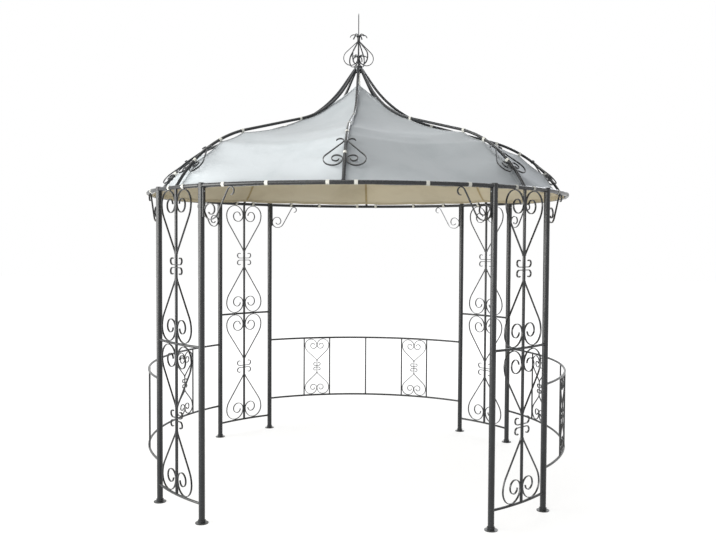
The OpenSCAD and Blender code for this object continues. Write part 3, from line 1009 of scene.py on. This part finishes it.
# two screws through each bracket plate into its post
def screwBrackets():
    source = makeScrew()
    for n, middle in enumerate(openingAngles, 1):
        screws = []
        for way in (1, -1):
            angle = middle + way * (45 - pillarHalf)
            along = roundTheRing(angle - way * fixings["plateTurn"]) * -way
            face = polar(plan["ringRadius"], angle, plan["ringHeight"])
            face += along * (postSkin + fixings["plateOut"])
            for drop in fixings["bracketScrews"]:
                roll = 0.4 + drop * 30  # no two recesses end at the same angle
                screws.append(copyPiece(source, facing(along, face - Vector((0, 0, drop)), roll)))
        keepPiece(joinPieces(screws), "bracketScrews_" + str(n), [zincFinish])
    takeAway(source)


screwBrackets()


# a screw in the hub between each two ribs, and a weld bead round each rib's foot
def fixRibs():
    screw = makeScrew()
    bead = makeBead(plan["ribBar"] / 2, fixings["fine"])
    screws, welds = [], []
    radius, height, slope = onRib(fixings["ribFoot"])
    for k in range(plan["ribs"]):
        angle = ribTurn * k
        outward = polar(1, angle + ribTurn / 2, 0)
        place = outward * fixings["hubRadius"] + Vector((0, 0, plan["crownHeight"]))
        screws.append(copyPiece(screw, facing(outward, place, k)))
        at = polar(radius, angle, height)
        along = polar(radius - cos(slope), angle, height + sin(slope)) - at
        welds.append(copyPiece(bead, facing(along, at)))
    takeAway(screw)
    takeAway(bead)
    keepPiece(joinPieces(screws), "hubScrews", [zincFinish])
    keepPiece(joinPieces(welds), "ribFootWelds", [steelFinish])


fixRibs()
print("fixings made")

# the canopy is kept last, when all that hangs on it has been measured from it
keepPiece(canopySheet, "canopyCloth", [clothOutside, clothInsideLitThrough], ["canopy"])


# studio: a pale floor, a white surround and soft lamps
studio = {
    "floor": "#8f8f8e", "floorBounce": "#cfcfcc", "white": "#ffffff", "ambient": 0.3,
    "floorGlow": (0.80, 1.0), "glowFrom": (1.6, 6.0),  # under the pergola and far out, and from where, m
    "floorSize": 60, "floorDrop": 0.001, "floorRoughness": 0.9,
    # place, width and height in m, watts, colour
    "lamps": [((-7.2, -3.2, 2.6), (6.5, 5.2), 710, "#fffefa"),
              ((-3.8, -8.2, 2.9), (4.8, 2.6), 350, "#fffefa"),
              ((-1.5, -2.0, 8.0), (4.0, 4.0), 120, "#fffcf6"),
              ((3.0, 7.0, 6.0), (5.0, 4.0), 320, "#f6f9ff")],
    "aim": (0, 0, 1.5),
}


# one for camera, glossy and transmission rays, nought for the rays that carry light
def seenRays(tree):
    rays = addNode(tree, "ShaderNodeLightPath")
    seen = addNode(tree, "ShaderNodeMath", operation="MAXIMUM",
                   links={0: rays.outputs["Is Camera Ray"], 1: rays.outputs["Is Glossy Ray"]})
    return addNode(tree, "ShaderNodeMath", operation="MAXIMUM",
                   links={0: seen.outputs[0], 1: rays.outputs["Is Transmission Ray"]})


def lightStudio():
    world = bpy.data.worlds.new("studioWorld")
    bpy.context.scene.world = world
    world.use_nodes = True
    tree = world.node_tree
    back = tree.nodes["Background"]
    back.inputs["Color"].default_value = linear(studio["white"])
    strength = addNode(tree, "ShaderNodeMapRange", {"To Min": studio["ambient"], "To Max": 1.0},
                       {"Value": seenRays(tree).outputs[0]})
    tree.links.new(strength.outputs[0], back.inputs["Strength"])
    for number, (place, size, watts, colour) in enumerate(studio["lamps"], 1):
        bpy.ops.object.light_add(type="AREA", location=place)
        lamp = bpy.context.object
        lamp.name = "lamp_" + str(number)
        lamp.data.shape, lamp.data.energy = "RECTANGLE", watts
        lamp.data.size, lamp.data.size_y = size
        lamp.data.color = linear(colour)[:3]
        lamp.rotation_euler = (Vector(studio["aim"]) - Vector(place)).to_track_quat("-Z", "Y").to_euler()


def layFloor():
    bpy.ops.mesh.primitive_plane_add(size=studio["floorSize"], location=(0, 0, -studio["floorDrop"]))
    floor = bpy.context.object
    floor.name = "studioFloor"
    material, tree, shader = startMaterial("paleStudioFloor")
    seen = seenRays(tree)
    tone = addNode(tree, "ShaderNodeMix", {6: linear(studio["floorBounce"]), 7: linear(studio["floor"])},
                   {0: seen.outputs[0]}, data_type="RGBA")
    outwards = addNode(tree, "ShaderNodeVectorMath", operation="LENGTH",
                       links={0: addNode(tree, "ShaderNodeTexCoord").outputs["Object"]})
    (near, far), (dim, full) = studio["glowFrom"], studio["floorGlow"]
    spread = addNode(tree, "ShaderNodeMapRange",
                     {"From Min": near, "From Max": far, "To Min": dim, "To Max": full},
                     {"Value": outwards.outputs["Value"]})
    glow = addNode(tree, "ShaderNodeMath", links={0: seen.outputs[0], 1: spread.outputs[0]},
                   operation="MULTIPLY")
    fillSockets(tree, shader, {"Roughness": studio["floorRoughness"], "Specular IOR Level": 0,
                               "Emission Color": linear(studio["white"])},
                {"Base Color": tone.outputs[2], "Emission Strength": glow.outputs[0]})
    floor.data.materials.append(material)


lightStudio()
layFloor()


# the camera stands in front of the open side, a little to the right, at eye height; turns are in degrees
view = {"place": (0.317, -5.863, 1.688), "tilt": 88.0, "roll": 0.30, "turn": 3.055,
        "lens": 39.77, "sensor": 36, "farthest": 100}
bpy.ops.object.camera_add(location=view["place"])
camera = bpy.context.object
camera.rotation_euler = (Matrix.Rotation(radians(view["turn"]), 3, "Z")
                         @ Matrix.Rotation(radians(view["tilt"]), 3, "X")
                         @ Matrix.Rotation(radians(view["roll"]), 3, "Z")).to_euler()
camera.data.lens, camera.data.sensor_width = view["lens"], view["sensor"]
camera.data.clip_end = view["farthest"]
bpy.context.scene.camera = camera
bpy.context.scene.view_settings.view_transform = "Standard"
